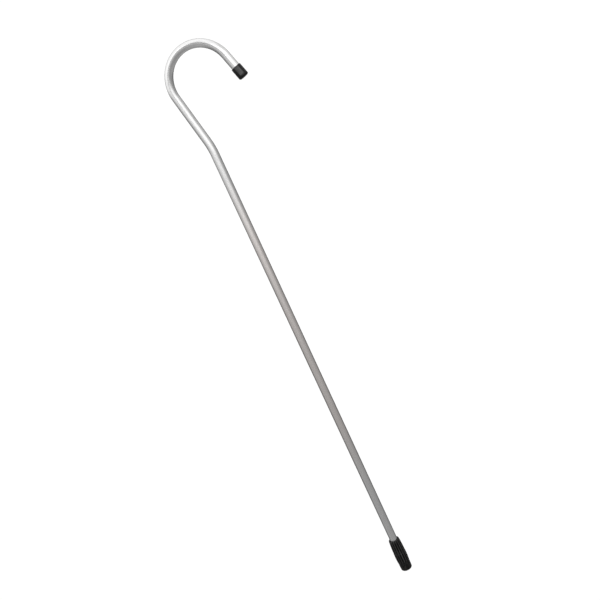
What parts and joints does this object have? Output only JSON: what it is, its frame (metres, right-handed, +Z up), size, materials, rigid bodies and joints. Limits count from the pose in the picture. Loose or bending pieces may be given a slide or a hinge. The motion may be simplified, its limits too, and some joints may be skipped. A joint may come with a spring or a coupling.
{
  "type": "white cane",
  "caption": "Rigid crook-handled cane for blind users: bent aluminium tube, black end cap on the crook, long rubber ferrule at the foot.",
  "frame": {"origin": "centre of the flat sole of the rubber ferrule, where the upright cane meets the ground", "axes": "+Z up along the straight shaft; the whole tube lies in the XZ plane, the crook's free end is towards +X and the kink below the handle leans towards -X; +Y is across the tube"},
  "size_m": [0.1189, 0.0208, 0.9007],
  "materials": {
    "satin_aluminium": "bare drawn tube, satin, with fine lengthwise draw lines and handling scratches",
    "black_cap": "soft black vinyl, satin sheen",
    "black_rubber": "moulded black rubber, matte, lightly ribbed and worn towards the sole",
    "zinc_steel": "zinc plated steel, stamped"
  },
  "bodies": {
    "cane": {"shaft_tube": "satin_aluminium"},
    "foot_tip": {"tip_ferrule": "black_rubber", "ferrule_washer": "zinc_steel"},
    "end_cap": {"crook_end_cap": "black_cap"}
  },
  "joints": [
    {"name": "ferrule_pull", "type": "slide", "parent": "cane", "child": "foot_tip", "axis": [0, 0, -1], "range_m": [0, 0.065]},
    {"name": "cap_pull", "type": "slide", "parent": "cane", "child": "end_cap", "axis": [0.309, 0, -0.9511], "range_m": [0, 0.025]}
  ]
}
